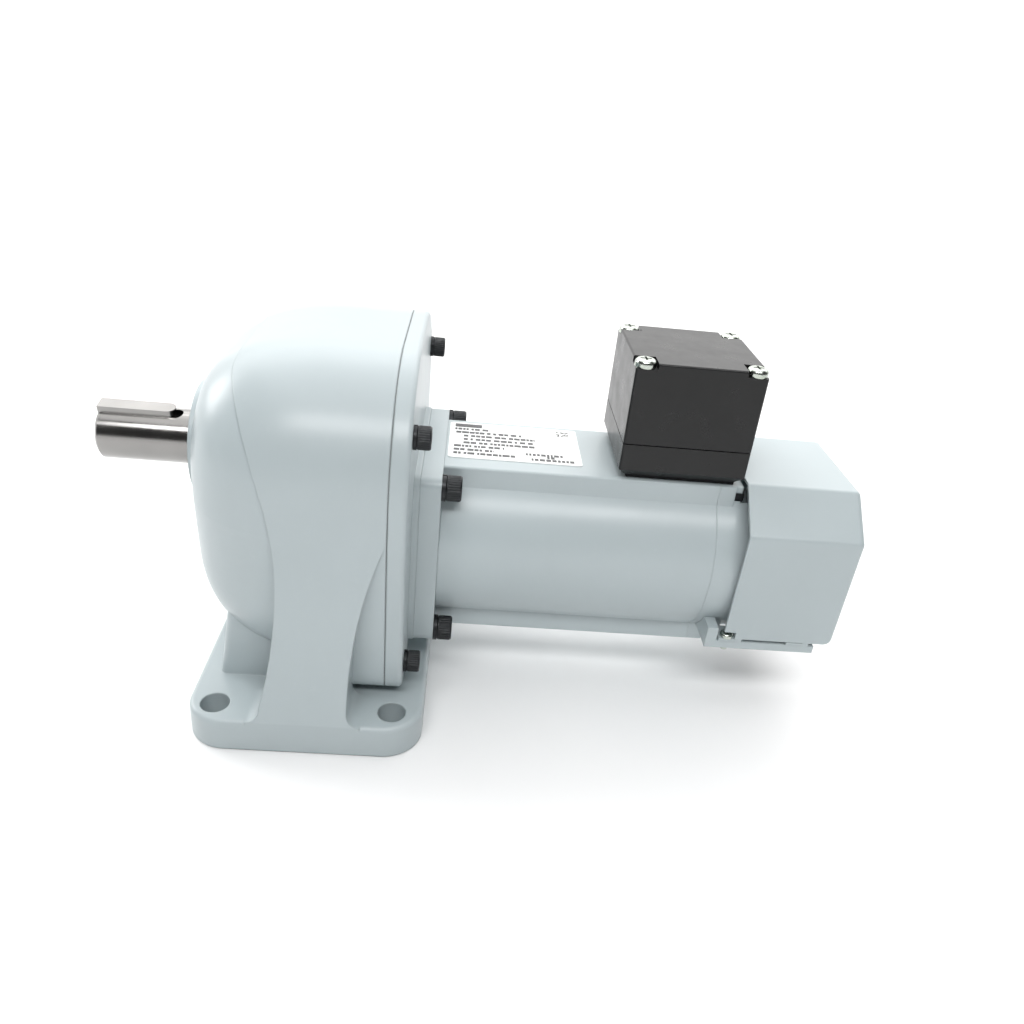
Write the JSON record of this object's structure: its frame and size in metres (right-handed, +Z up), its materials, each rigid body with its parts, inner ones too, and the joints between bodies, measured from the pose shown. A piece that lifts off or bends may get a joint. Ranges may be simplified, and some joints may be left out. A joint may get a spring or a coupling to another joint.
{
  "type": "parallel-shaft gearmotor",
  "caption": "Foot-mounted parallel-shaft gearmotor: domed gear case on two legs, keyed output shaft, small motor with terminal box and fan cover behind.",
  "frame": {"origin": "centre of the four foot holes, on the underside of the foot", "axes": "+X from the output shaft towards the motor, along every shaft axis; +Z up"},
  "size_m": [0.3028, 0.1526, 0.1499],
  "materials": {
    "casting_paint": "satin blue-grey enamel on castings",
    "sheet_paint": "satin blue-grey enamel on sheet steel",
    "motor_paint": "satin blue-grey enamel on aluminium",
    "shaft_steel": "ground bright",
    "gear_steel": "cut and hardened, oiled",
    "bearing_steel": "polished",
    "black_oxide": "black oxide",
    "zinc": "bright zinc plate",
    "bare_aluminium": "as cast, machined faces",
    "lamination": "stacked sheet, oiled",
    "copper": "enamelled wire",
    "black_plastic": "fine moulded texture",
    "fan_plastic": "moulded",
    "seal_rubber": "moulded rubber",
    "gasket_paper": "pressed fibre sheet",
    "foam": "closed-cell foam",
    "label_film": "printed film, no lettering"
  },
  "bodies": {
    "housing": {"gear_case": "casting_paint", "gear_cover": "casting_paint", "cover_gasket": "gasket_paper", "cover_dowels": "bearing_steel", "cover_bolts": "black_oxide", "cover_lock_washers": "black_oxide", "intermediate_plate": "bare_aluminium", "plate_screws": "black_oxide", "output_seal": "seal_rubber", "input_seal": "seal_rubber", "motor_flange": "motor_paint", "motor_frame": "motor_paint", "rear_shield": "motor_paint", "stator_core": "lamination", "stator_windings": "copper", "motor_bolts": "black_oxide", "motor_lock_washers": "black_oxide", "shield_screws": "black_oxide", "fan_cover": "sheet_paint", "fan_cover_screws": "zinc", "nameplate": "label_film", "terminal_box_pad": "foam", "terminal_box_base": "black_plastic", "terminal_box_lid": "black_plastic", "lid_screws": "zinc", "box_screws": "zinc", "terminal_block": "fan_plastic", "terminal_screws": "zinc", "cable_gland": "black_plastic", "output_bearing_outer_rings": "bearing_steel", "output_bearing_balls": "bearing_steel", "second_shaft_bearing_outer_rings": "bearing_steel", "second_shaft_bearing_balls": "bearing_steel", "first_shaft_bearing_outer_rings": "bearing_steel", "first_shaft_bearing_balls": "bearing_steel", "rotor_bearing_outer_rings": "bearing_steel", "rotor_bearing_balls": "bearing_steel"},
    "output": {"output_shaft": "shaft_steel", "output_key": "shaft_steel", "output_gear": "gear_steel", "output_gear_key": "gear_steel", "output_bearing_inner_rings": "bearing_steel"},
    "second_stage": {"second_shaft": "gear_steel", "second_gear": "gear_steel", "second_shaft_bearing_inner_rings": "bearing_steel"},
    "first_stage": {"first_shaft": "gear_steel", "first_gear": "gear_steel", "first_shaft_bearing_inner_rings": "bearing_steel"},
    "rotor": {"rotor_shaft": "gear_steel", "rotor_core": "lamination", "rotor_end_rings": "bare_aluminium", "cooling_fan": "fan_plastic", "fan_clip": "bearing_steel", "rotor_bearing_inner_rings": "bearing_steel"}
  },
  "joints": [
    {"name": "rotor_spin", "type": "hinge", "parent": "housing", "child": "rotor", "pos_m": [0.1, 0, 0.0642], "axis": [1, 0, 0], "continuous": true},
    {"name": "first_shaft_spin", "type": "hinge", "parent": "housing", "child": "first_stage", "pos_m": [0.02, 0.031, 0.0642], "axis": [1, 0, 0], "continuous": true},
    {"name": "second_shaft_spin", "type": "hinge", "parent": "housing", "child": "second_stage", "pos_m": [0, -0.00015, 0.0512], "axis": [1, 0, 0], "continuous": true},
    {"name": "output_spin", "type": "hinge", "parent": "housing", "child": "output", "pos_m": [-0.03, 0, 0.0947], "axis": [1, 0, 0], "continuous": true}
  ],
  "couplings": [
    {"joint": "first_shaft_spin", "follows": "rotor_spin", "ratio": -0.24},
    {"joint": "second_shaft_spin", "follows": "rotor_spin", "ratio": 0.084},
    {"joint": "output_spin", "follows": "rotor_spin", "ratio": -0.024267}
  ]
}
